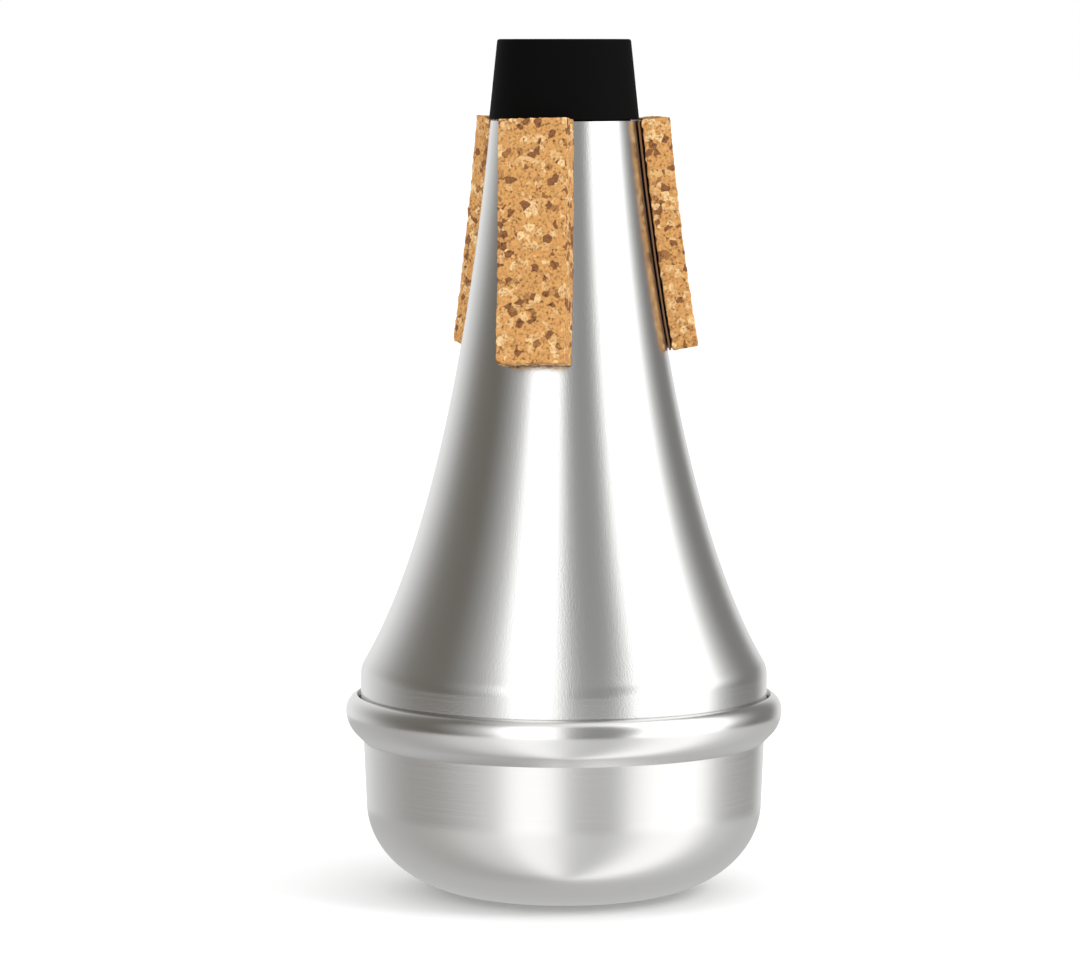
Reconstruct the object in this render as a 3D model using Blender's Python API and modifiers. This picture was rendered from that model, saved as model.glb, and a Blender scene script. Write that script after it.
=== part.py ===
"""Straight mute for a trumpet: spun aluminium cone and base cup, black tip collar and three glued cork strips.

The mute stands on its base cup, centred on the Z axis, with its narrow open end up and one cork facing -Y.
Every length is in metres and every angle in degrees.
"""

import math
from collections import namedtuple

import bmesh
import bpy
from mathutils import Matrix, Vector

# Overall
OVERALL_HEIGHT = 0.160
SHELL_WALL = 0.0010
CLEARANCE = 0.0003
SEGMENTS = 48

# Base cup, with its rim rolled out into a bead
BASE_FLAT_RADIUS = 0.016
BASE_CORNER_HEIGHT = 0.017
CUP_WALL_HEIGHT = 0.0117
CUP_DRAFT = 0.0005
CUP_RADIUS = 0.0377
BEAD_PROJECTION = 0.0033
BEAD_UNDER_ANGLE = 45.0
LIP_GAP = 0.0004

# Cone shell: hem inside the bead, skirt, shoulder, flare and neck
HEM_TOP_ROUND = 0.00185
HEM_UNDER_ROUND = 0.0047
HEM_UNDER_ANGLE = 38.0
SKIRT_STEP = 0.0005
SKIRT_HEIGHT = 0.0067
SHOULDER_ROUND = 0.0048
SHOULDER_ANGLE = 30.4
FLANK_REACH = 0.0140
NECK_RADIUS = 0.0137
NECK_ANGLE = 5.5
NECK_REACH = 0.0622

# Tip collar
TIP_HEIGHT = 0.0148
TIP_OVERHANG = 0.0003
TIP_TAPER = 0.0015
TIP_EDGE_ROUND = 0.0005
TIP_WALL = 0.0022
SPIGOT_LENGTH = 0.010

# Cork strips and the glue under them
CORK_WIDTH = 0.0132
CORK_THICKNESS = 0.0042
GLUE_THICKNESS = 0.0003
GLUE_MARGIN = 0.0003
CORK_STATIONS = 9

# One strip: its place round the neck, how far it was glued out of line, and its length along the neck
Strip = namedtuple("Strip", "side turn lean length")
STRIPS = (
    Strip("front", 0.0, -1.7, 0.0455),
    Strip("right", 120.0, 0.0, 0.0437),
    Strip("left", 236.4, -1.7, 0.0439),
)

# Sizes that follow from the ones above
NECK_TOP = OVERALL_HEIGHT - TIP_HEIGHT
SKIRT_RADIUS = CUP_RADIUS + SKIRT_STEP
BEAD_RADIUS = CUP_RADIUS + BEAD_PROJECTION
BEAD_TOP_ROUND = HEM_TOP_ROUND + CLEARANCE + SHELL_WALL
BEAD_UNDER_ROUND = HEM_UNDER_ROUND + CLEARANCE + SHELL_WALL
CREASE_HEIGHT = BASE_CORNER_HEIGHT + CUP_WALL_HEIGHT
CORK_STAND_OFF = CLEARANCE + GLUE_THICKNESS + CLEARANCE


def clear_scene():
    """Remove every object of the file."""
    for item in list(bpy.data.objects):
        bpy.data.objects.remove(item, do_unlink=True)


def make_collection(name):
    """A new collection under the scene's own."""
    collection = bpy.data.collections.new(name)
    bpy.context.scene.collection.children.link(collection)
    return collection


def make_material(name, colour, roughness, metallic):
    """A plain Principled BSDF material."""
    material = bpy.data.materials.new(name)
    material.use_nodes = True
    shader = material.node_tree.nodes["Principled BSDF"]
    shader.inputs["Base Color"].default_value = (*colour, 1.0)
    shader.inputs["Roughness"].default_value = roughness
    shader.inputs["Metallic"].default_value = metallic
    return material


def arc(centre, radius, start, end, steps):
    """Points (r, z) along an arc. Angles are from +r towards +z, in degrees."""
    points = []
    for step in range(steps + 1):
        angle = math.radians(start + (end - start) * step / steps)
        points.append((centre[0] + radius * math.cos(angle), centre[1] + radius * math.sin(angle)))
    return points


def along(angle, distance):
    """The step (dr, dz) of a line that runs downwards, leaning outwards by an angle from the vertical."""
    return Vector((math.sin(math.radians(angle)), -math.cos(math.radians(angle)))) * distance


def flare_line(steps):
    """The neck and flank as one Bezier curve, from the neck's rim down to the shoulder, as points (r, z)."""
    angle = math.radians(SHOULDER_ANGLE)
    top = Vector((NECK_RADIUS, NECK_TOP))
    foot = Vector((
        SKIRT_RADIUS - SHOULDER_ROUND * (1.0 - math.cos(angle)),
        bead_height() + SKIRT_HEIGHT + SHOULDER_ROUND * math.sin(angle),
    ))
    top_handle = top + along(NECK_ANGLE, NECK_REACH)
    foot_handle = foot - along(SHOULDER_ANGLE, FLANK_REACH)
    points = []
    for step in range(steps + 1):
        t = step / steps
        s = 1.0 - t
        point = s**3 * top + 3 * s**2 * t * top_handle + 3 * s * t**2 * foot_handle + t**3 * foot
        points.append((point.x, point.y))
    return points


def offset_line(points, distance):
    """The line moved outwards by a distance, square to itself at each point."""
    moved = []
    last = len(points) - 1
    for index, point in enumerate(points):
        before = Vector(points[max(index - 1, 0)])
        after = Vector(points[min(index + 1, last)])
        run = (after - before).normalized()
        moved.append((point[0] - run.y * distance, point[1] + run.x * distance))
    return moved


def turned(name, profile, material, collection, closed=False):
    """An object turned round Z from a profile that runs down its outer side."""
    mesh = bpy.data.meshes.new(name)
    edges = [(index, index + 1) for index in range(len(profile) - 1)]
    if closed:
        edges.append((len(profile) - 1, 0))
    mesh.from_pydata([(r, 0.0, z) for r, z in profile], edges, [])
    item = bpy.data.objects.new(name, mesh)
    collection.objects.link(item)
    screw = item.modifiers.new("turn", "SCREW")
    screw.steps = SEGMENTS
    screw.render_steps = SEGMENTS
    screw.use_merge_vertices = True
    screw.merge_threshold = 0.00001
    if material:
        mesh.materials.append(material)
        mesh.shade_smooth()
    return item


def add_wall(item, thickness):
    """Give an open surface its thickness, on the inner side."""
    wall = item.modifiers.new("wall", "SOLIDIFY")
    wall.thickness = thickness
    wall.offset = -1.0
    wall.use_even_offset = True
    return item


def mark_cutter(item):
    """Show a cutter as wire and keep it out of renders."""
    item.display_type = "WIRE"
    item.hide_render = True
    return item


def cut(item, cutter, operation):
    """Cut an object with another one."""
    boolean = item.modifiers.new(operation.lower(), "BOOLEAN")
    boolean.object = cutter
    boolean.operation = operation
    boolean.solver = "EXACT"
    return item


def bead_height():
    """Height of the bead's widest line, worked out up its sloping underside from the crease with the wall."""
    angle = math.radians(BEAD_UNDER_ANGLE)
    slope_width = BEAD_PROJECTION - BEAD_UNDER_ROUND * (1.0 - math.cos(angle))
    return CREASE_HEIGHT + slope_width / math.tan(angle) + BEAD_UNDER_ROUND * math.sin(angle)


def rolled_line(inset, start_radius, end_angle):
    """The bead's section, or with an inset the hem's inside it, from a start radius round to an angle underneath."""
    height = bead_height()
    top_centre = (BEAD_RADIUS - BEAD_TOP_ROUND, height)
    under_centre = (BEAD_RADIUS - BEAD_UNDER_ROUND, height)
    top_round = BEAD_TOP_ROUND - inset
    start_angle = math.degrees(math.acos((start_radius - top_centre[0]) / top_round))
    line = arc(top_centre, top_round, start_angle, 0.0, 7)
    return line + arc(under_centre, BEAD_UNDER_ROUND - inset, 0.0, -end_angle, 4)[1:]


def base_cup(material, collection):
    """The base cup: rolled bead, wall, rounded corner and flat foot."""
    inner_round = BEAD_TOP_ROUND - SHELL_WALL
    top_centre = BEAD_RADIUS - BEAD_TOP_ROUND
    lip_reach = (SKIRT_RADIUS + LIP_GAP - top_centre) * BEAD_TOP_ROUND / inner_round
    profile = rolled_line(0.0, top_centre + lip_reach, BEAD_UNDER_ANGLE)
    profile.append((CUP_RADIUS, CREASE_HEIGHT))

    corner_width = CUP_RADIUS - CUP_DRAFT - BASE_FLAT_RADIUS
    corner_steps = 8
    for step in range(corner_steps + 1):
        angle = math.radians(90.0 * (1.0 - step / corner_steps))
        radius = BASE_FLAT_RADIUS + corner_width * math.sin(angle)
        profile.append((radius, BASE_CORNER_HEIGHT * (1.0 - math.cos(angle))))
    profile.append((0.0, 0.0))
    return add_wall(turned("base_cup", profile, material, collection), SHELL_WALL)


def cone_shell(material, collection):
    """The cone: neck, flare, shoulder, skirt, and the hem that the cup's bead is rolled over."""
    profile = flare_line(13)
    profile[0] = (profile[0][0], profile[0][1] - CLEARANCE)
    shoulder_centre = (SKIRT_RADIUS - SHOULDER_ROUND, bead_height() + SKIRT_HEIGHT)
    profile += arc(shoulder_centre, SHOULDER_ROUND, SHOULDER_ANGLE, 0.0, 3)[1:]
    profile += rolled_line(SHELL_WALL + CLEARANCE, SKIRT_RADIUS, HEM_UNDER_ANGLE)
    return add_wall(turned("cone_shell", profile, material, collection), SHELL_WALL)


def tip_collar(material, collection):
    """The black collar: tapered cap over the neck's rim, spigot inside the neck, open bore."""
    neck_inside = NECK_RADIUS - SHELL_WALL / math.cos(math.radians(NECK_ANGLE))
    spigot_radius = neck_inside - CLEARANCE
    bore_radius = spigot_radius - TIP_WALL
    base_radius = NECK_RADIUS + TIP_OVERHANG
    edge_centre = (base_radius - TIP_TAPER - TIP_EDGE_ROUND, OVERALL_HEIGHT - TIP_EDGE_ROUND)
    profile = [(bore_radius, OVERALL_HEIGHT)]
    profile += arc(edge_centre, TIP_EDGE_ROUND, 90.0, 0.0, 3)
    profile.append((base_radius, NECK_TOP))
    profile.append((spigot_radius, NECK_TOP))
    profile.append((spigot_radius, NECK_TOP - SPIGOT_LENGTH))
    profile.append((bore_radius, NECK_TOP - SPIGOT_LENGTH))
    return turned("tip_collar", profile, material, collection, closed=True)


def neck_core(name, stand_off, collection):
    """A cutter: the neck and flare grown outwards by a stand-off, closed on the axis."""
    line = offset_line(flare_line(13), stand_off)
    above = NECK_TOP + CORK_WIDTH
    profile = [(0.0, above), (line[0][0], above), *line, (0.0, line[-1][1])]
    return mark_cutter(turned(name, profile, None, collection))


def neck_track(margin, length):
    """Points (r, z) down the neck's outer line, evenly spaced over a length that starts a margin below its rim."""
    line = [Vector(point) for point in flare_line(200)]
    track = []
    walked = 0.0
    spacing = length / CORK_STATIONS
    for start, end in zip(line, line[1:]):
        run = (end - start).length
        while len(track) <= CORK_STATIONS and margin + len(track) * spacing <= walked + run:
            share = (margin + len(track) * spacing - walked) / run
            track.append(tuple(start.lerp(end, share)))
        walked += run
    return track


def strip_blank(name, strip, margin, rise, depth, material, collection):
    """A bar that follows the neck, a margin short of the cork's edges.

    Its outer face stands a rise above the metal, and it reaches inwards from there by a depth.
    """
    width = CORK_WIDTH - 2 * margin
    track = offset_line(neck_track(margin, strip.length - 2 * margin), rise)
    middle = (Vector(track[0]) + Vector(track[-1])) / 2
    shape = bmesh.new()
    corners = [shape.verts.new((-width / 2, middle.x - r, z - middle.y)) for r, z in track]
    edges = [shape.edges.new(pair) for pair in zip(corners, corners[1:])]
    grown = bmesh.ops.extrude_edge_only(shape, edges=edges)
    side = [part for part in grown["geom"] if isinstance(part, bmesh.types.BMVert)]
    bmesh.ops.translate(shape, verts=side, vec=(width, 0.0, 0.0))
    bmesh.ops.recalc_face_normals(shape, faces=shape.faces)
    if sum(face.normal.y for face in shape.faces) > 0.0:
        bmesh.ops.reverse_faces(shape, faces=shape.faces)
    mesh = bpy.data.meshes.new(name)
    shape.to_mesh(mesh)
    shape.free()
    mesh.materials.append(material)
    item = bpy.data.objects.new(name, mesh)
    collection.objects.link(item)
    item.location = Matrix.Rotation(math.radians(strip.turn), 3, "Z") @ Vector((0.0, -middle.x, middle.y))
    item.rotation_euler = (0.0, math.radians(strip.lean), math.radians(strip.turn))
    return add_wall(item, depth)


def cork_strip(strip, core, material, collection):
    """One cork: flat across its outer face, its back hollowed to the glue."""
    rise = CORK_STAND_OFF + CORK_THICKNESS
    name = f"cork_strip_{strip.side}"
    blank = strip_blank(name, strip, 0.0, rise, rise + CORK_WIDTH / 4, material, collection)
    return cut(blank, core, "DIFFERENCE")


def glue_bed(strip, inner_core, outer_core, material, collection):
    """The glue film between one cork and the neck."""
    name = f"glue_bed_{strip.side}"
    blank = strip_blank(name, strip, GLUE_MARGIN, CORK_STAND_OFF, CORK_WIDTH / 2, material, collection)
    cut(blank, inner_core, "DIFFERENCE")
    return cut(blank, outer_core, "INTERSECT")


def main():
    """Build the mute."""
    clear_scene()
    parts = make_collection("trumpet_mute")
    cutters = make_collection("trumpet_mute_cutters")
    aluminium = make_material("satin_aluminium", (0.70, 0.70, 0.69), 0.32, 1.0)
    black = make_material("black_collar", (0.012, 0.012, 0.013), 0.55, 0.0)
    cork = make_material("cork", (0.58, 0.33, 0.13), 0.85, 0.0)
    glue = make_material("brown_glue", (0.10, 0.045, 0.015), 0.45, 0.0)

    cone_shell(aluminium, parts)
    base_cup(aluminium, parts)
    tip_collar(black, parts)

    glue_inside = neck_core("glue_inside_cutter", CLEARANCE, cutters)
    glue_outside = neck_core("glue_outside_cutter", CLEARANCE + GLUE_THICKNESS, cutters)
    cork_inside = neck_core("cork_inside_cutter", CORK_STAND_OFF, cutters)
    for strip in STRIPS:
        cork_strip(strip, cork_inside, cork, parts)
        glue_bed(strip, glue_inside, glue_outside, glue, parts)


main()
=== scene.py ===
"""Looks of a straight trumpet mute: satin spun aluminium, a black tip collar, three glued cork strips.

Every length is in metres and every angle in degrees. The pieces stand in the frame of the CAD part.
"""

import logging
import math
from dataclasses import dataclass
from enum import Enum

import bpy
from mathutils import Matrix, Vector, noise


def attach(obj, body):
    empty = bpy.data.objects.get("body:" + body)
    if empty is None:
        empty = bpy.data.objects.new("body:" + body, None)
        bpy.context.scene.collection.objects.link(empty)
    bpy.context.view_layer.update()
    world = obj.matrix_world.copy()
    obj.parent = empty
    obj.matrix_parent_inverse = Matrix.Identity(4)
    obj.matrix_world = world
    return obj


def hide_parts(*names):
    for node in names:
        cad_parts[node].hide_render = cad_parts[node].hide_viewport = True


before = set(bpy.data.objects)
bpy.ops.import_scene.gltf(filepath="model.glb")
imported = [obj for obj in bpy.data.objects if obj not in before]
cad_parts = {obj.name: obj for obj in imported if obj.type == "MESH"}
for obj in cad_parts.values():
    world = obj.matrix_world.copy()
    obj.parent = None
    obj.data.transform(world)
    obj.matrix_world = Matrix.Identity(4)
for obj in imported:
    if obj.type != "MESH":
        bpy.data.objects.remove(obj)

LOG = logging.getLogger("trumpet_mute")

# Sizes of the turned metal and the collar, the same as the part's
OVERALL_HEIGHT = 0.160
SHELL_WALL = 0.0010
CLEARANCE = 0.0003
BASE_FLAT_RADIUS = 0.016
BASE_CORNER_HEIGHT = 0.017
CUP_WALL_HEIGHT = 0.0117
CUP_DRAFT = 0.0005
CUP_RADIUS = 0.0377
BEAD_RADIUS = 0.0410
BEAD_UNDER_ANGLE = 45.0
LIP_GAP = 0.0004
HEM_TOP_ROUND = 0.00185
HEM_UNDER_ROUND = 0.0047
HEM_UNDER_ANGLE = 38.0
SKIRT_RADIUS = 0.0382
SKIRT_HEIGHT = 0.0067
SHOULDER_ROUND = 0.0048
SHOULDER_ANGLE = 30.4
FLANK_REACH = 0.0140
NECK_RADIUS = 0.0137
NECK_ANGLE = 5.5
NECK_REACH = 0.0622
TIP_HEIGHT = 0.0148
TIP_OVERHANG = 0.0003
TIP_TAPER = 0.0015
TIP_EDGE_ROUND = 0.0005
TIP_WALL = 0.0022
SPIGOT_LENGTH = 0.010

# Sizes that follow from the ones above
NECK_TOP = OVERALL_HEIGHT - TIP_HEIGHT
BEAD_TOP_ROUND = HEM_TOP_ROUND + CLEARANCE + SHELL_WALL
BEAD_UNDER_ROUND = HEM_UNDER_ROUND + CLEARANCE + SHELL_WALL
CREASE_HEIGHT = BASE_CORNER_HEIGHT + CUP_WALL_HEIGHT

# How finely the turned pieces are drawn
TURN_STEPS = 192
FLARE_STEPS = 70
SHOULDER_STEPS = 10
BEAD_TOP_STEPS = 20
BEAD_UNDER_STEPS = 14
CORNER_STEPS = 40
TIP_EDGE_STEPS = 8
AXIS_MERGE = 0.00001
SHARP_ANGLE = 38.0

# Surface grain
BUMP_HEIGHT = 0.00005
GRAIN_DETAIL = 3.0
TURNING_LINE_DETAIL = 2.0
TURNING_LINES_PER_METRE = 900.0

# Cork: the remesh, and how deep its faces are worn
CORK_WELD = 0.00002
CORK_VOXEL = 0.00032
WEAR_SPACING = 0.0011
WEAR_MEAN = 0.00010
WEAR_COARSE = 0.00014
WEAR_FINE = 0.00007
WEAR_FINE_SHARE = 2.7
WEAR_SEED_Y = 3.0
WEAR_SEED_Z = 7.0

# The view: where the camera stands, seen from the mute's axis
CAMERA_AZIMUTH = 16.4
CAMERA_DISTANCE = 0.900
CAMERA_HEIGHT = 0.158
CAMERA_PITCH = 5.2
CAMERA_PAN = 0.286
CAMERA_LENS = 160.5
CAMERA_SENSOR = 36.0
CAMERA_NEAR = 0.01
CAMERA_FAR = 100.0

# The studio. Heights of a mirrored direction are the upward part of its unit vector.
FLOOR_SIZE = 40.0
FLOOR_DROP = 0.0001
FLOOR_WHITE = 0.90
LAMP_AIM_HEIGHT = 0.08
SOFT_LIGHT = 1.24
LOW_BANDS_BELOW = -0.20
HIGH_BANDS_ABOVE = -0.15
OVERHEAD_FROM = 0.90
OVERHEAD_TO = 0.99
NARROWING_OVERHEAD = 0.68
WARMTH_ON_GREEN = 0.6
WARMTH_ON_BLUE = 1.4

Profile = list[tuple[float, float]]
Colour = tuple[float, float, float]
Stops = list[tuple[float, Colour]]


class Slot(Enum):
    """Material slots of the part."""

    METAL = "satin_aluminium"
    COLLAR = "black_collar"
    CORK = "cork"
    GLUE = "brown_glue"


@dataclass(frozen=True)
class MetalFinish:
    """A satin spun metal."""

    name: str
    colour: Colour
    roughness: float
    grain_size: float
    grain_depth: float
    line_depth: float


@dataclass(frozen=True)
class CorkFinish:
    """Pressed cork made of granules."""

    name: str
    light: Colour
    middle: Colour
    dark: Colour
    granule: float
    roughness: float


@dataclass(frozen=True)
class PlainFinish:
    """A plain coloured finish with a fine grain."""

    name: str
    colour: Colour
    roughness: float
    grain_size: float
    grain_depth: float
    gloss: float


@dataclass(frozen=True)
class Band:
    """One stop of the studio's brightness round the mute, at an azimuth from the camera."""

    azimuth: float
    level: float
    warmth: float = 0.0


@dataclass(frozen=True)
class Lamp:
    """A soft square lamp, placed by its azimuth, distance and height, and aimed at the mute."""

    name: str
    azimuth: float
    height: float
    distance: float
    size: float
    power: float


CONE_METAL = MetalFinish("satin_aluminium_cone", (0.74, 0.74, 0.73), 0.22, 0.00030, 0.35, 0.10)
CUP_METAL = MetalFinish("satin_aluminium_cup", (0.74, 0.735, 0.725), 0.21, 0.00028, 0.18, 0.12)
COLLAR_BLACK = PlainFinish("black_collar_matte", (0.002, 0.002, 0.002), 0.70, 0.0004, 0.15, 0.05)
# The glue film's dark brown is partly the glue's own colour and partly painted shade: it stands in for
# the shadow in the gap between each flat-backed cork and the curved neck.
GLUE_AND_GAP_SHADE = PlainFinish("glue_film_painted_gap_shade", (0.16, 0.07, 0.022), 0.35, 0.0008, 0.4, 0.5)
CORK_TAN = CorkFinish(
    name="cork_granules",
    light=(0.62, 0.42, 0.20),
    middle=(0.46, 0.23, 0.070),
    dark=(0.18, 0.070, 0.020),
    granule=0.0012,
    roughness=0.9,
)

# Cork: up to which share the granules are dark and middling, and the specks laid over them
DARK_UP_TO = 0.10
MIDDLE_FROM = 0.20
MIDDLE_UP_TO = 0.75
CORK_BUMPS_PER_GRANULE = 2.0
CORK_BUMP_DEPTH = 1.0
SPECK_STOPS: Stops = [(0.30, (0.32, 0.20, 0.12)), (0.44, (0.95, 0.95, 0.95)), (0.62, (1.25, 1.25, 1.25))]
SPECKS_PER_GRANULE = 2.4
SPECK_DETAIL = 4.0
WARPS_PER_GRANULE = 0.7
WARP_DETAIL = 2.0

LAMPS = (
    Lamp("key_lamp", azimuth=75.0, height=0.9, distance=1.2, size=0.6, power=7.0),
    Lamp("fill_lamp", azimuth=-35.0, height=0.9, distance=1.4, size=0.8, power=3.0),
)

# What the cone, the skirt and the bead mirror
HIGH_BANDS = (
    Band(-180.0, 0.90),
    Band(-150.0, 0.95),
    Band(-128.0, 0.70),
    Band(-106.0, 0.33, 0.05),
    Band(-92.0, 0.20, 0.12),
    Band(-68.0, 0.15, 0.16),
    Band(-58.0, 0.24, 0.06),
    Band(-44.0, 0.50, 0.02),
    Band(-37.0, 0.74),
    Band(-30.0, 1.70),
    Band(-4.0, 1.70),
    Band(2.0, 0.42),
    Band(12.0, 0.30),
    Band(26.0, 0.30),
    Band(33.0, 0.55),
    Band(39.0, 1.70),
    Band(87.0, 1.80),
    Band(98.0, 0.60),
    Band(114.0, 0.22, 0.03),
    Band(140.0, 0.24, 0.03),
    Band(158.0, 0.90),
    Band(180.0, 0.90),
)

# What the cup mirrors, where it looks down at the studio's floor
LOW_BANDS = (
    Band(-180.0, 0.60),
    Band(-136.0, 0.58),
    Band(-100.0, 0.50, 0.03),
    Band(-80.0, 0.55, 0.03),
    Band(-60.0, 0.74, 0.01),
    Band(-42.0, 0.88),
    Band(-33.0, 1.12),
    Band(-26.0, 1.28),
    Band(-12.0, 1.28),
    Band(-4.0, 1.10),
    Band(6.0, 0.76),
    Band(18.0, 0.68),
    Band(28.0, 0.70),
    Band(40.0, 0.98),
    Band(52.0, 1.28),
    Band(78.0, 1.38),
    Band(90.0, 1.06),
    Band(104.0, 0.74),
    Band(130.0, 0.62),
    Band(180.0, 0.60),
)


def arc(centre: tuple[float, float], radius: float, start: float, end: float, steps: int) -> Profile:
    """Points along an arc.

    Args:
        centre: The arc's centre (r, z).
        radius: Its radius.
        start: First angle, from +r towards +z.
        end: Last angle.
        steps: How many chords.

    Returns:
        The points (r, z), first and last included.
    """
    points = []
    for step in range(steps + 1):
        angle = math.radians(start + (end - start) * step / steps)
        points.append((centre[0] + radius * math.cos(angle), centre[1] + radius * math.sin(angle)))
    return points


def along(angle: float, distance: float) -> Vector:
    """The step (dr, dz) of a line that runs downwards.

    Args:
        angle: How far it leans outwards from the vertical.
        distance: Its length.

    Returns:
        The step.
    """
    return Vector((math.sin(math.radians(angle)), -math.cos(math.radians(angle)))) * distance


def bead_height() -> float:
    """Height of the bead's widest line, worked out up its underside from the crease with the wall."""
    angle = math.radians(BEAD_UNDER_ANGLE)
    slope_width = BEAD_RADIUS - CUP_RADIUS - BEAD_UNDER_ROUND * (1.0 - math.cos(angle))
    return CREASE_HEIGHT + slope_width / math.tan(angle) + BEAD_UNDER_ROUND * math.sin(angle)


def flare_line(steps: int) -> Profile:
    """The neck and flank as one Bezier curve.

    Args:
        steps: How many chords.

    Returns:
        Points (r, z) from the neck's rim down to the shoulder.
    """
    angle = math.radians(SHOULDER_ANGLE)
    top = Vector((NECK_RADIUS, NECK_TOP))
    foot = Vector((
        SKIRT_RADIUS - SHOULDER_ROUND * (1.0 - math.cos(angle)),
        bead_height() + SKIRT_HEIGHT + SHOULDER_ROUND * math.sin(angle),
    ))
    top_handle = top + along(NECK_ANGLE, NECK_REACH)
    foot_handle = foot - along(SHOULDER_ANGLE, FLANK_REACH)
    points = []
    for step in range(steps + 1):
        t = step / steps
        s = 1.0 - t
        point = s**3 * top + 3 * s**2 * t * top_handle + 3 * s * t**2 * foot_handle + t**3 * foot
        points.append((point.x, point.y))
    return points


def rolled_line(inset: float, start_radius: float, end_angle: float) -> Profile:
    """The bead's section, or with an inset the hem's inside it.

    Args:
        inset: How far inside the bead's outer line.
        start_radius: Radius where the line starts on top.
        end_angle: Where it ends underneath.

    Returns:
        Points (r, z) from the top round to the underside.
    """
    height = bead_height()
    top_centre = (BEAD_RADIUS - BEAD_TOP_ROUND, height)
    under_centre = (BEAD_RADIUS - BEAD_UNDER_ROUND, height)
    top_round = BEAD_TOP_ROUND - inset
    start_angle = math.degrees(math.acos((start_radius - top_centre[0]) / top_round))
    line = arc(top_centre, top_round, start_angle, 0.0, BEAD_TOP_STEPS)
    return line + arc(under_centre, BEAD_UNDER_ROUND - inset, 0.0, -end_angle, BEAD_UNDER_STEPS)[1:]


def plain_copy(item: bpy.types.Object, name: str) -> bpy.types.Object:
    """Work an object's modifiers into a plain mesh.

    Args:
        item: The object, which is removed afterwards.
        name: The new object's name.

    Returns:
        A new object with the finished mesh and no modifiers.
    """
    depsgraph = bpy.context.evaluated_depsgraph_get()
    mesh = bpy.data.meshes.new_from_object(item.evaluated_get(depsgraph))
    bpy.data.objects.remove(item, do_unlink=True)
    mesh.name = name
    plain = bpy.data.objects.new(name, mesh)
    bpy.context.scene.collection.objects.link(plain)
    return plain


def turned(name: str, profile: Profile, wall: float, closed: bool = False) -> bpy.types.Object:
    """A piece turned round Z.

    Args:
        name: The piece's name.
        profile: Points (r, z) down its outer side.
        wall: Thickness on the inner side, or 0 for a closed profile.
        closed: Whether the profile's ends are joined.

    Returns:
        The piece, smooth with sharp edges where it turns steeply.
    """
    mesh = bpy.data.meshes.new(name)
    edges = [(index, index + 1) for index in range(len(profile) - 1)]
    if closed:
        edges.append((len(profile) - 1, 0))
    mesh.from_pydata([(r, 0.0, z) for r, z in profile], edges, [])
    item = bpy.data.objects.new(name + "_profile", mesh)
    bpy.context.scene.collection.objects.link(item)
    screw = item.modifiers.new("turn", "SCREW")
    screw.steps = TURN_STEPS
    screw.render_steps = TURN_STEPS
    screw.use_merge_vertices = True
    screw.merge_threshold = AXIS_MERGE
    if wall:
        solid = item.modifiers.new("wall", "SOLIDIFY")
        solid.thickness = wall
        solid.offset = -1.0
        solid.use_even_offset = True
    piece = plain_copy(item, name)
    piece.data.shade_smooth()
    piece.data.set_sharp_from_angle(angle=math.radians(SHARP_ANGLE))
    return piece


def grain_group() -> bpy.types.ShaderNodeTree:
    """The grain shared by every finish: round grains over faint turning lines, given as a normal."""
    group = bpy.data.node_groups.new("surface_grain", "ShaderNodeTree")
    for label in ("Grain Scale", "Grain Depth", "Line Depth"):
        group.interface.new_socket(label, in_out="INPUT", socket_type="NodeSocketFloat")
    group.interface.new_socket("Normal", in_out="OUTPUT", socket_type="NodeSocketVector")
    nodes = group.nodes
    link = group.links.new
    source = nodes.new("NodeGroupInput")
    result = nodes.new("NodeGroupOutput")
    place = nodes.new("ShaderNodeTexCoord")
    grain = nodes.new("ShaderNodeTexNoise")
    grain.inputs["Detail"].default_value = GRAIN_DETAIL
    link(place.outputs["Object"], grain.inputs["Vector"])
    link(source.outputs["Grain Scale"], grain.inputs["Scale"])
    split = nodes.new("ShaderNodeSeparateXYZ")
    link(place.outputs["Object"], split.inputs["Vector"])
    lines = nodes.new("ShaderNodeTexNoise")
    lines.noise_dimensions = "1D"
    lines.inputs["Scale"].default_value = TURNING_LINES_PER_METRE
    lines.inputs["Detail"].default_value = TURNING_LINE_DETAIL
    link(split.outputs["Z"], lines.inputs["W"])
    line_bump = nodes.new("ShaderNodeBump")
    line_bump.inputs["Distance"].default_value = BUMP_HEIGHT
    link(lines.outputs["Fac"], line_bump.inputs["Height"])
    link(source.outputs["Line Depth"], line_bump.inputs["Strength"])
    grain_bump = nodes.new("ShaderNodeBump")
    grain_bump.inputs["Distance"].default_value = BUMP_HEIGHT
    link(grain.outputs["Fac"], grain_bump.inputs["Height"])
    link(source.outputs["Grain Depth"], grain_bump.inputs["Strength"])
    link(line_bump.outputs["Normal"], grain_bump.inputs["Normal"])
    link(grain_bump.outputs["Normal"], result.inputs["Normal"])
    return group


def new_material(name: str) -> tuple[bpy.types.Material, bpy.types.ShaderNode]:
    """A material and its Principled BSDF node."""
    material = bpy.data.materials.new(name)
    material.use_nodes = True
    return material, material.node_tree.nodes["Principled BSDF"]


def add_grain(
    material: bpy.types.Material,
    grain: bpy.types.ShaderNodeTree,
    size: float,
    depth: float,
    lines: float,
) -> None:
    """Add the shared grain to a material's normal.

    Args:
        material: The material.
        grain: The shared node group.
        size: Size of one grain.
        depth: How strong the grains are.
        lines: How strong the turning lines are.
    """
    node = material.node_tree.nodes.new("ShaderNodeGroup")
    node.node_tree = grain
    node.inputs["Grain Scale"].default_value = 1.0 / size
    node.inputs["Grain Depth"].default_value = depth
    node.inputs["Line Depth"].default_value = lines
    shader = material.node_tree.nodes["Principled BSDF"]
    material.node_tree.links.new(node.outputs["Normal"], shader.inputs["Normal"])


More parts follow.
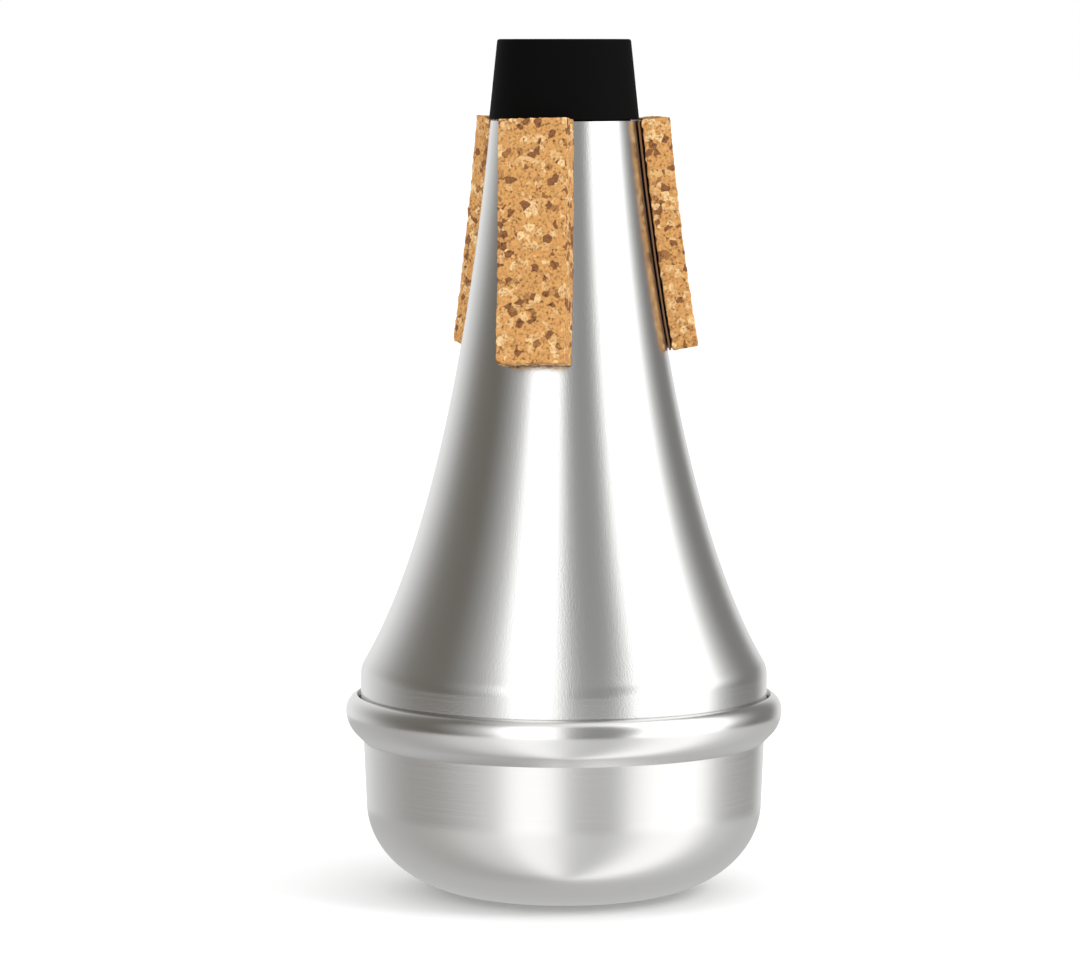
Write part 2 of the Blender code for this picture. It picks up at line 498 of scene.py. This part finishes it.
def set_ramp(ramp: bpy.types.ShaderNode, stops: Stops) -> None:
    """Set the stops of a colour ramp.

    Args:
        ramp: The ramp's node.
        stops: Positions and colours, in rising order.
    """
    elements = ramp.color_ramp.elements
    while len(elements) > 1:
        elements.remove(elements[-1])
    elements[0].position = stops[0][0]
    elements[0].color = (*stops[0][1], 1.0)
    for position, colour in stops[1:]:
        element = elements.new(position)
        element.color = (*colour, 1.0)


def mixed(
    tree: bpy.types.NodeTree,
    factor: bpy.types.NodeSocket,
    first: bpy.types.NodeSocket,
    second: bpy.types.NodeSocket,
) -> bpy.types.NodeSocket:
    """Mix two colours.

    Args:
        tree: The node tree.
        factor: Output that says how much of the second colour shows.
        first: The first colour's output.
        second: The second colour's output.

    Returns:
        The mix's output.
    """
    mix = tree.nodes.new("ShaderNodeMix")
    mix.data_type = "RGBA"
    tree.links.new(factor, mix.inputs["Factor"])
    tree.links.new(first, mix.inputs["A"])
    tree.links.new(second, mix.inputs["B"])
    return mix.outputs["Result"]


def metal_material(finish: MetalFinish, grain: bpy.types.ShaderNodeTree) -> bpy.types.Material:
    """Satin metal in a finish, with the shared grain."""
    material, shader = new_material(finish.name)
    shader.inputs["Base Color"].default_value = (*finish.colour, 1.0)
    shader.inputs["Metallic"].default_value = 1.0
    shader.inputs["Roughness"].default_value = finish.roughness
    add_grain(material, grain, finish.grain_size, finish.grain_depth, finish.line_depth)
    return material


def plain_material(finish: PlainFinish, grain: bpy.types.ShaderNodeTree) -> bpy.types.Material:
    """A plain colour in a finish, with the shared grain and no turning lines."""
    material, shader = new_material(finish.name)
    shader.inputs["Base Color"].default_value = (*finish.colour, 1.0)
    shader.inputs["Roughness"].default_value = finish.roughness
    shader.inputs["Specular IOR Level"].default_value = finish.gloss
    add_grain(material, grain, finish.grain_size, finish.grain_depth, 0.0)
    return material


def cork_material(finish: CorkFinish, grain: bpy.types.ShaderNodeTree) -> bpy.types.Material:
    """Granules of cork: warped cells in dark, middling and light tans, with specks over them.

    Args:
        finish: The cork's tones and granule size.
        grain: The shared node group.

    Returns:
        The material.
    """
    material, shader = new_material(finish.name)
    nodes = material.node_tree.nodes
    link = material.node_tree.links.new
    place = nodes.new("ShaderNodeTexCoord")
    warp = nodes.new("ShaderNodeTexNoise")
    warp.inputs["Scale"].default_value = WARPS_PER_GRANULE / finish.granule
    warp.inputs["Detail"].default_value = WARP_DETAIL
    link(place.outputs["Object"], warp.inputs["Vector"])
    bend = nodes.new("ShaderNodeVectorMath")
    bend.operation = "MULTIPLY_ADD"
    bend.inputs[1].default_value = (finish.granule,) * 3
    link(warp.outputs["Color"], bend.inputs[0])
    link(place.outputs["Object"], bend.inputs[2])
    cells = nodes.new("ShaderNodeTexVoronoi")
    cells.inputs["Scale"].default_value = 1.0 / finish.granule
    link(bend.outputs["Vector"], cells.inputs["Vector"])
    tone = nodes.new("ShaderNodeSeparateColor")
    link(cells.outputs["Color"], tone.inputs["Color"])
    ramp = nodes.new("ShaderNodeValToRGB")
    set_ramp(ramp, [
        (0.0, finish.dark),
        (DARK_UP_TO, finish.dark),
        (MIDDLE_FROM, finish.middle),
        (MIDDLE_UP_TO, finish.middle),
        (1.0, finish.light),
    ])
    link(tone.outputs["Red"], ramp.inputs["Fac"])
    speck = nodes.new("ShaderNodeTexNoise")
    speck.inputs["Scale"].default_value = SPECKS_PER_GRANULE / finish.granule
    speck.inputs["Detail"].default_value = SPECK_DETAIL
    link(place.outputs["Object"], speck.inputs["Vector"])
    speck_ramp = nodes.new("ShaderNodeValToRGB")
    set_ramp(speck_ramp, SPECK_STOPS)
    link(speck.outputs["Fac"], speck_ramp.inputs["Fac"])
    blend = nodes.new("ShaderNodeMix")
    blend.data_type = "RGBA"
    blend.blend_type = "MULTIPLY"
    blend.inputs["Factor"].default_value = 1.0
    link(ramp.outputs["Color"], blend.inputs["A"])
    link(speck_ramp.outputs["Color"], blend.inputs["B"])
    link(blend.outputs["Result"], shader.inputs["Base Color"])
    shader.inputs["Roughness"].default_value = finish.roughness
    add_grain(material, grain, finish.granule / CORK_BUMPS_PER_GRANULE, CORK_BUMP_DEPTH, 0.0)
    return material


def hand_in(piece: bpy.types.Object, material: bpy.types.Material, slot: Slot, *nodes: str) -> None:
    """Give a piece its material, hang it under the root body and hide the CAD nodes that it stands for.

    Args:
        piece: The piece.
        material: Its material.
        slot: The part's material slot that it answers to; not used.
        nodes: The CAD nodes that it stands for.
    """
    piece.data.materials.clear()
    piece.data.materials.append(material)
    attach(piece, "root")
    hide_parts(*nodes)
    LOG.info("%s: %d faces", piece.name, len(piece.data.polygons))


@dataclass
class Metalwork:
    """The spun cone, the base cup with its rolled bead, and the tip collar."""

    grain: bpy.types.ShaderNodeTree

    def build(self) -> None:
        """Make the three turned pieces."""
        hand_in(self.cone(), metal_material(CONE_METAL, self.grain), Slot.METAL, "cone_shell")
        hand_in(self.cup(), metal_material(CUP_METAL, self.grain), Slot.METAL, "base_cup")
        hand_in(self.collar(), plain_material(COLLAR_BLACK, self.grain), Slot.COLLAR, "tip_collar")

    def cone(self) -> bpy.types.Object:
        """The cone: neck, flare, shoulder, skirt and hem."""
        profile = flare_line(FLARE_STEPS)
        profile[0] = (profile[0][0], profile[0][1] - CLEARANCE)
        centre = (SKIRT_RADIUS - SHOULDER_ROUND, bead_height() + SKIRT_HEIGHT)
        profile += arc(centre, SHOULDER_ROUND, SHOULDER_ANGLE, 0.0, SHOULDER_STEPS)[1:]
        profile += rolled_line(SHELL_WALL + CLEARANCE, SKIRT_RADIUS, HEM_UNDER_ANGLE)
        return turned("cone", profile, SHELL_WALL)

    def cup(self) -> bpy.types.Object:
        """The cup: rolled bead, wall, rounded corner and flat foot."""
        inner_round = BEAD_TOP_ROUND - SHELL_WALL
        top_centre = BEAD_RADIUS - BEAD_TOP_ROUND
        lip_reach = (SKIRT_RADIUS + LIP_GAP - top_centre) * BEAD_TOP_ROUND / inner_round
        profile = rolled_line(0.0, top_centre + lip_reach, BEAD_UNDER_ANGLE)
        profile.append((CUP_RADIUS, CREASE_HEIGHT))
        corner_width = CUP_RADIUS - CUP_DRAFT - BASE_FLAT_RADIUS
        for step in range(CORNER_STEPS + 1):
            angle = math.radians(90.0 * (1.0 - step / CORNER_STEPS))
            radius = BASE_FLAT_RADIUS + corner_width * math.sin(angle)
            profile.append((radius, BASE_CORNER_HEIGHT * (1.0 - math.cos(angle))))
        profile.append((0.0, 0.0))
        return turned("cup", profile, SHELL_WALL)

    def collar(self) -> bpy.types.Object:
        """The tapered black collar with its spigot and open bore."""
        neck_inside = NECK_RADIUS - SHELL_WALL / math.cos(math.radians(NECK_ANGLE))
        spigot_radius = neck_inside - CLEARANCE
        bore_radius = spigot_radius - TIP_WALL
        base_radius = NECK_RADIUS + TIP_OVERHANG
        edge_centre = (base_radius - TIP_TAPER - TIP_EDGE_ROUND, OVERALL_HEIGHT - TIP_EDGE_ROUND)
        profile = [(bore_radius, OVERALL_HEIGHT)]
        profile += arc(edge_centre, TIP_EDGE_ROUND, 90.0, 0.0, TIP_EDGE_STEPS)
        profile.append((base_radius, NECK_TOP))
        profile.append((spigot_radius, NECK_TOP))
        profile.append((spigot_radius, NECK_TOP - SPIGOT_LENGTH))
        profile.append((bore_radius, NECK_TOP - SPIGOT_LENGTH))
        return turned("collar", profile, 0.0, closed=True)


@dataclass
class CorkStrips:
    """The three cork strips and the glue under them, whose dark brown is partly painted shade of the gap
    under each cork.
    """

    grain: bpy.types.ShaderNodeTree
    sides: tuple[str, ...] = ("front", "right", "left")

    def build(self) -> None:
        """Make the corks and the glue films."""
        cork = cork_material(CORK_TAN, self.grain)
        # The glue's dark brown is partly painted shade: the shadow in the gap between each flat cork and
        # the curved neck.
        glue = plain_material(GLUE_AND_GAP_SHADE, self.grain)
        for side in self.sides:
            hand_in(self.cork(side), cork, Slot.CORK, f"cork_strip_{side}")
            hand_in(self.glue(side), glue, Slot.GLUE, f"glue_bed_{side}")

    def node_copy(self, node: str, name: str) -> bpy.types.Object:
        """An object with a copy of a CAD node's mesh."""
        piece = bpy.data.objects.new(name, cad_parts[node].data.copy())
        bpy.context.scene.collection.objects.link(piece)
        return piece

    def cork(self, side: str) -> bpy.types.Object:
        """One cork: the part's bar, its faces worn unevenly inwards.

        Args:
            side: Which strip.

        Returns:
            The piece.
        """
        source = self.node_copy(f"cork_strip_{side}", f"cork_{side}_source")
        weld = source.modifiers.new("weld", "WELD")
        weld.merge_threshold = CORK_WELD
        remesh = source.modifiers.new("remesh", "REMESH")
        remesh.mode = "VOXEL"
        remesh.voxel_size = CORK_VOXEL
        bpy.context.view_layer.update()
        piece = plain_copy(source, f"cork_{side}")
        vertices = piece.data.vertices
        normals = [vertex.normal.copy() for vertex in vertices]
        seed = Vector((len(side), WEAR_SEED_Y, WEAR_SEED_Z))
        for vertex, normal in zip(vertices, normals):
            spot = vertex.co / WEAR_SPACING + seed
            coarse = WEAR_COARSE * noise.noise(spot)
            fine = WEAR_FINE * noise.noise(spot * WEAR_FINE_SHARE)
            vertex.co -= normal * max(WEAR_MEAN + coarse + fine, 0.0)
        piece.data.shade_smooth()
        return piece

    def glue(self, side: str) -> bpy.types.Object:
        """The glue film under one cork, whose dark brown also paints the shade in the gap between cork
        and neck.
        """
        return self.node_copy(f"glue_bed_{side}", f"glue_{side}")


@dataclass
class Studio:
    """The white floor, the lamps, the surroundings that the metal mirrors, and the camera."""

    floor_size: float = FLOOR_SIZE

    def build(self) -> None:
        """Set up the studio."""
        self.add_world()
        self.add_floor()
        for lamp in LAMPS:
            self.add_lamp(lamp)
        self.add_camera()
        bpy.context.scene.view_settings.view_transform = "Standard"

    def add_floor(self) -> None:
        """A plain white floor that keeps the mute's shadow and stays out of the metal's mirrors."""
        half = self.floor_size / 2.0
        mesh = bpy.data.meshes.new("floor")
        corners = [(-half, -half, 0.0), (half, -half, 0.0), (half, half, 0.0), (-half, half, 0.0)]
        mesh.from_pydata(corners, [], [(0, 1, 2, 3)])
        floor = bpy.data.objects.new("floor", mesh)
        floor.location = (0.0, 0.0, -FLOOR_DROP)
        floor.visible_glossy = False
        bpy.context.scene.collection.objects.link(floor)
        material, shader = new_material("floor_white")
        shader.inputs["Base Color"].default_value = (FLOOR_WHITE, FLOOR_WHITE, FLOOR_WHITE, 1.0)
        shader.inputs["Roughness"].default_value = 1.0
        shader.inputs["Specular IOR Level"].default_value = 0.0
        mesh.materials.append(material)

    def add_lamp(self, lamp: Lamp) -> None:
        """Add a lamp that lights the mute but doesn't show in its mirrors."""
        light = bpy.data.lights.new(lamp.name, "AREA")
        light.size = lamp.size
        light.energy = lamp.power
        item = bpy.data.objects.new(lamp.name, light)
        turn = math.radians(lamp.azimuth)
        item.location = (lamp.distance * math.sin(turn), -lamp.distance * math.cos(turn), lamp.height)
        aim = Vector((0.0, 0.0, LAMP_AIM_HEIGHT)) - item.location
        item.rotation_euler = aim.to_track_quat("-Z", "Y").to_euler()
        item.visible_glossy = False
        bpy.context.scene.collection.objects.link(item)

    def add_camera(self) -> None:
        """The camera of the main view."""
        data = bpy.data.cameras.new("camera")
        data.lens = CAMERA_LENS
        data.sensor_width = CAMERA_SENSOR
        data.clip_start = CAMERA_NEAR
        data.clip_end = CAMERA_FAR
        camera = bpy.data.objects.new("camera", data)
        turn = math.radians(CAMERA_AZIMUTH)
        across = CAMERA_DISTANCE * math.sin(turn)
        camera.location = (across, -CAMERA_DISTANCE * math.cos(turn), CAMERA_HEIGHT)
        camera.rotation_euler = (math.radians(90.0 - CAMERA_PITCH), 0.0, turn + math.radians(CAMERA_PAN))
        bpy.context.scene.collection.objects.link(camera)
        bpy.context.scene.camera = camera

    def add_band_ramp(self, tree: bpy.types.NodeTree, bands: tuple[Band, ...]) -> bpy.types.ShaderNode:
        """Add a colour ramp of the studio's brightness round the mute.

        Args:
            tree: The world's node tree.
            bands: The stops, from behind on the left round to behind on the right.

        Returns:
            The ramp's node.
        """
        ramp = tree.nodes.new("ShaderNodeValToRGB")
        stops = []
        for band in bands:
            green = band.level * (1.0 - WARMTH_ON_GREEN * band.warmth)
            blue = band.level * (1.0 - WARMTH_ON_BLUE * band.warmth)
            stops.append(((band.azimuth + 180.0) / 360.0, (band.level, green, blue)))
        set_ramp(ramp, stops)
        return ramp

    def add_range(
        self, tree: bpy.types.NodeTree, value: bpy.types.NodeSocket, start: float, end: float
    ) -> bpy.types.ShaderNode:
        """Add a node that runs from 0 to 1 while a value runs from a start to an end."""
        node = tree.nodes.new("ShaderNodeMapRange")
        node.inputs["From Min"].default_value = start
        node.inputs["From Max"].default_value = end
        tree.links.new(value, node.inputs["Value"])
        return node

    def add_math(
        self, tree: bpy.types.NodeTree, operation: str, first: bpy.types.NodeSocket
    ) -> bpy.types.ShaderNode:
        """Add a maths node with its first input linked."""
        node = tree.nodes.new("ShaderNodeMath")
        node.operation = operation
        tree.links.new(first, node.inputs[0])
        return node

    def add_grey(self, tree: bpy.types.NodeTree, level: float) -> bpy.types.NodeSocket:
        """Add an even grey and return its output."""
        node = tree.nodes.new("ShaderNodeRGB")
        node.outputs["Color"].default_value = (level, level, level, 1.0)
        return node.outputs["Color"]

    def add_world(self) -> None:
        """White for the camera, soft light for the mute, and bright and dark cards for its mirrors."""
        world = bpy.data.worlds.new("studio")
        bpy.context.scene.world = world
        world.use_nodes = True
        tree = world.node_tree
        tree.nodes.clear()
        link = tree.links.new
        output = tree.nodes.new("ShaderNodeOutputWorld")
        background = tree.nodes.new("ShaderNodeBackground")
        link(background.outputs["Background"], output.inputs["Surface"])
        place = tree.nodes.new("ShaderNodeNewGeometry")
        turn = tree.nodes.new("ShaderNodeVectorRotate")
        turn.rotation_type = "Z_AXIS"
        turn.inputs["Angle"].default_value = math.radians(-CAMERA_AZIMUTH)
        link(place.outputs["Position"], turn.inputs["Vector"])
        split = tree.nodes.new("ShaderNodeSeparateXYZ")
        link(turn.outputs["Vector"], split.inputs["Vector"])
        upward = split.outputs["Z"]
        front = self.add_math(tree, "MULTIPLY", split.outputs["Y"])
        front.inputs[1].default_value = -1.0
        azimuth = self.add_math(tree, "ARCTAN2", split.outputs["X"])
        link(front.outputs["Value"], azimuth.inputs[1])
        narrow = self.add_range(tree, upward, 0.0, 1.0)
        narrow.inputs["To Min"].default_value = 1.0
        narrow.inputs["To Max"].default_value = NARROWING_OVERHEAD
        narrowed = self.add_math(tree, "MULTIPLY", azimuth.outputs["Value"])
        link(narrow.outputs["Result"], narrowed.inputs[1])
        share = self.add_range(tree, narrowed.outputs["Value"], -math.pi, math.pi)
        high = self.add_band_ramp(tree, HIGH_BANDS)
        low = self.add_band_ramp(tree, LOW_BANDS)
        link(share.outputs["Result"], high.inputs["Fac"])
        link(share.outputs["Result"], low.inputs["Fac"])
        rise = self.add_range(tree, upward, LOW_BANDS_BELOW, HIGH_BANDS_ABOVE)
        cards = mixed(tree, rise.outputs["Result"], low.outputs["Color"], high.outputs["Color"])
        overhead = self.add_range(tree, upward, OVERHEAD_FROM, OVERHEAD_TO)
        white = self.add_grey(tree, 1.0)
        mirrored = mixed(tree, overhead.outputs["Result"], cards, white)
        path = tree.nodes.new("ShaderNodeLightPath")
        lit = mixed(tree, path.outputs["Is Glossy Ray"], self.add_grey(tree, SOFT_LIGHT), mirrored)
        clear = mixed(tree, path.outputs["Is Transmission Ray"], lit, white)
        seen = mixed(tree, path.outputs["Is Camera Ray"], clear, white)
        link(seen, background.inputs["Color"])


def main() -> None:
    """Build the mute's looks and its studio."""
    logging.basicConfig(level=logging.INFO, format="%(name)s %(message)s")
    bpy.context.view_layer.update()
    grain = grain_group()
    Metalwork(grain).build()
    CorkStrips(grain).build()
    Studio().build()


if __name__ == "__main__":
    main()
